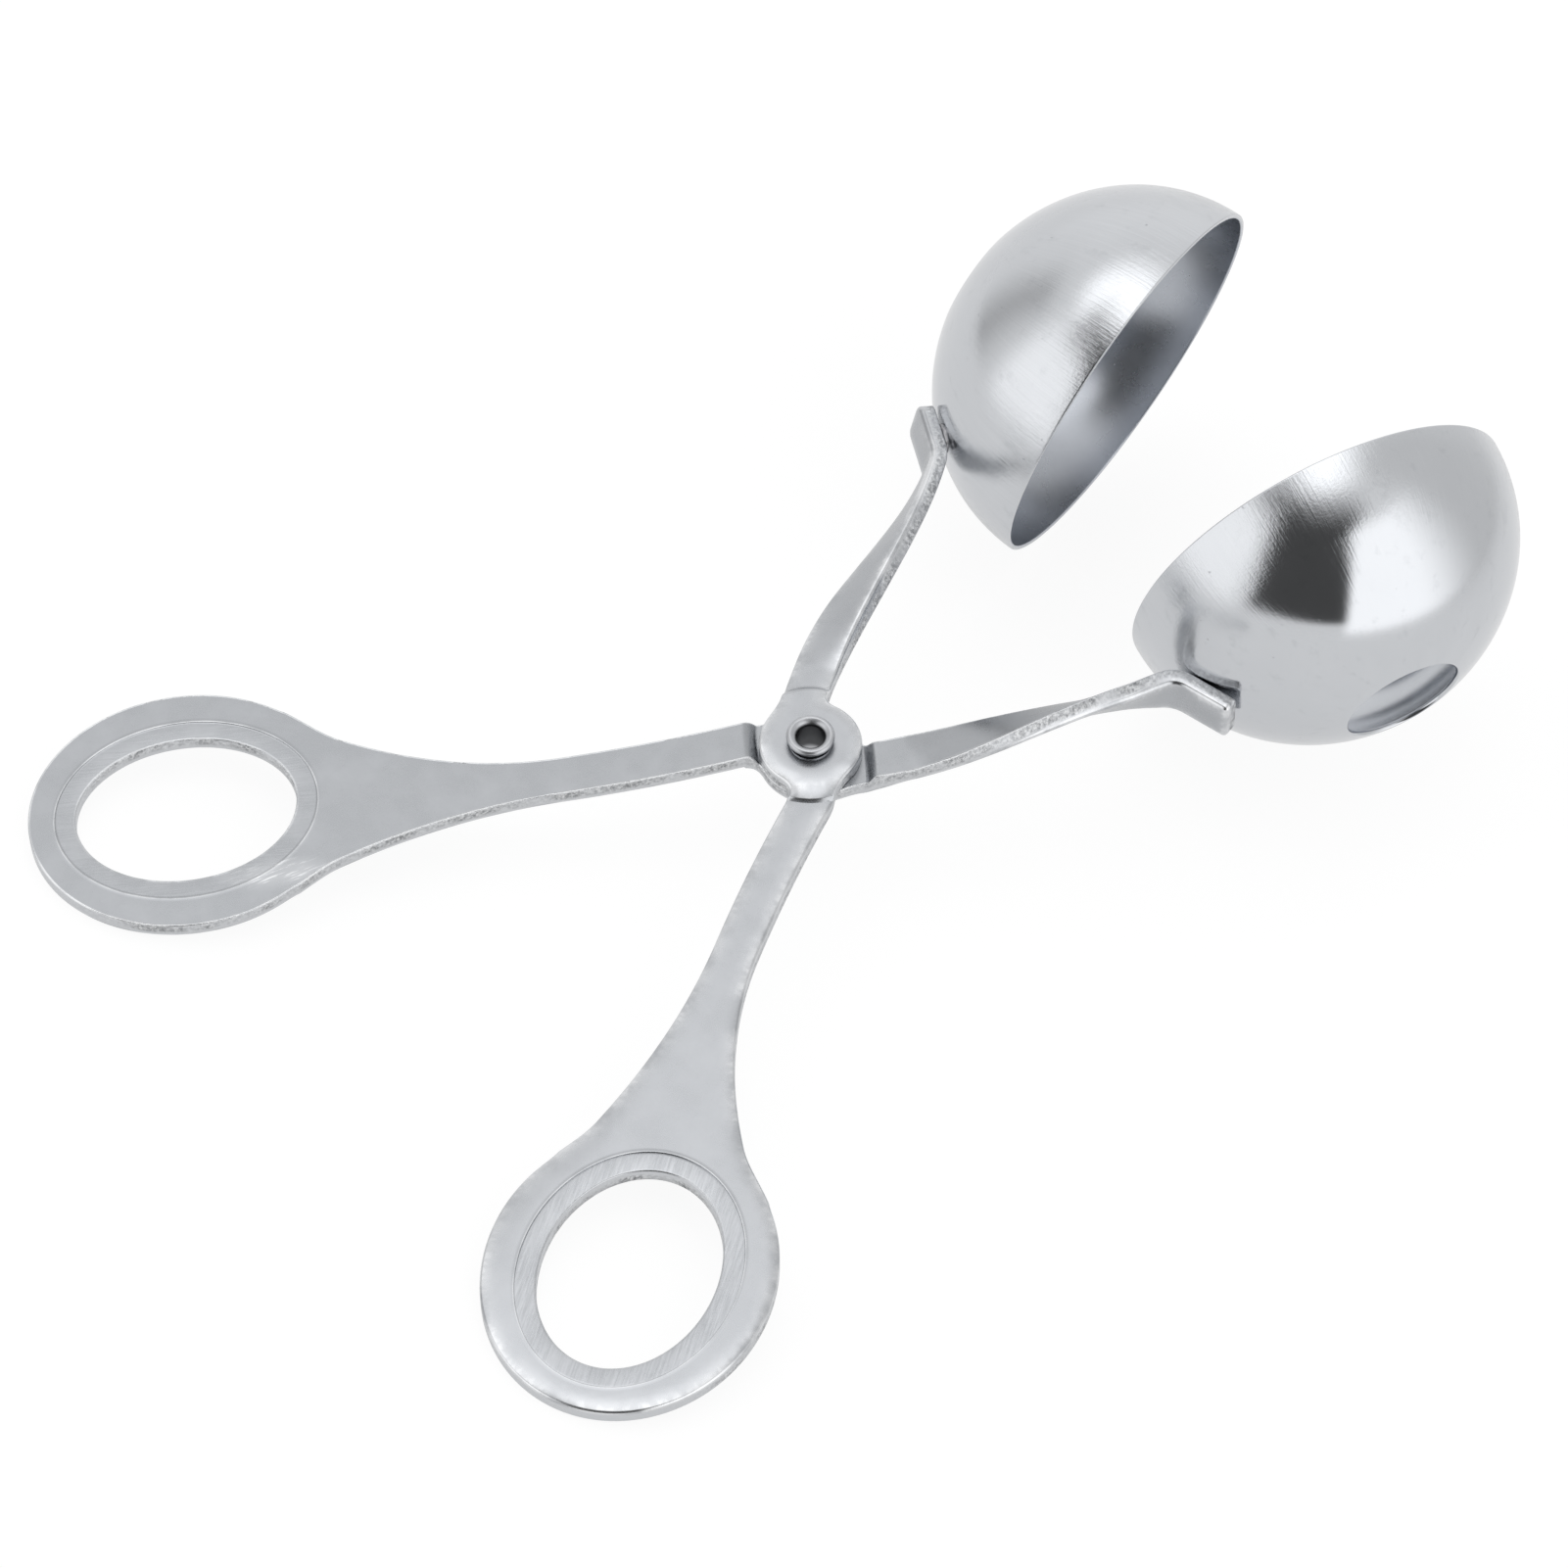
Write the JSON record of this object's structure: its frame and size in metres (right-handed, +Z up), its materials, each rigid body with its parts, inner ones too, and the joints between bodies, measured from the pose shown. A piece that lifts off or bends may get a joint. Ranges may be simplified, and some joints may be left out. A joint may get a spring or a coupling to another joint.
{
  "type": "meatball tongs",
  "caption": "Scissor tongs with finger rings and hollow half-ball cups that close on each other to press and shape a ball of minced meat.",
  "frame": {"origin": "on the surface that the open tongs lie on, under the middle of their bounding box", "axes": "+X from the rings to the cups along the middle line, +Y across towards the upper lever's cup, +Z up"},
  "size_m": [0.159, 0.109, 0.0472],
  "materials": {
    "lever_steel": "satin, tumbled after stamping",
    "cup_steel": "polished, fine lines around the cup",
    "rivet_steel": "bright, rolled over",
    "weld_steel": "dull, as welded"
  },
  "bodies": {
    "lower_half": {"lower_lever": "lever_steel", "lower_cup": "cup_steel", "lower_weld": "weld_steel", "pivot_rivet": "rivet_steel"},
    "upper_half": {"upper_lever": "lever_steel", "upper_cup": "cup_steel", "upper_weld": "weld_steel"}
  },
  "joints": [
    {"name": "pivot", "type": "hinge", "parent": "lower_half", "child": "upper_half", "pos_m": [-0.0052, 0, 0.01333], "axis": [-0.1643, 0, 0.9864], "range_deg": [-28.6, 30]}
  ]
}
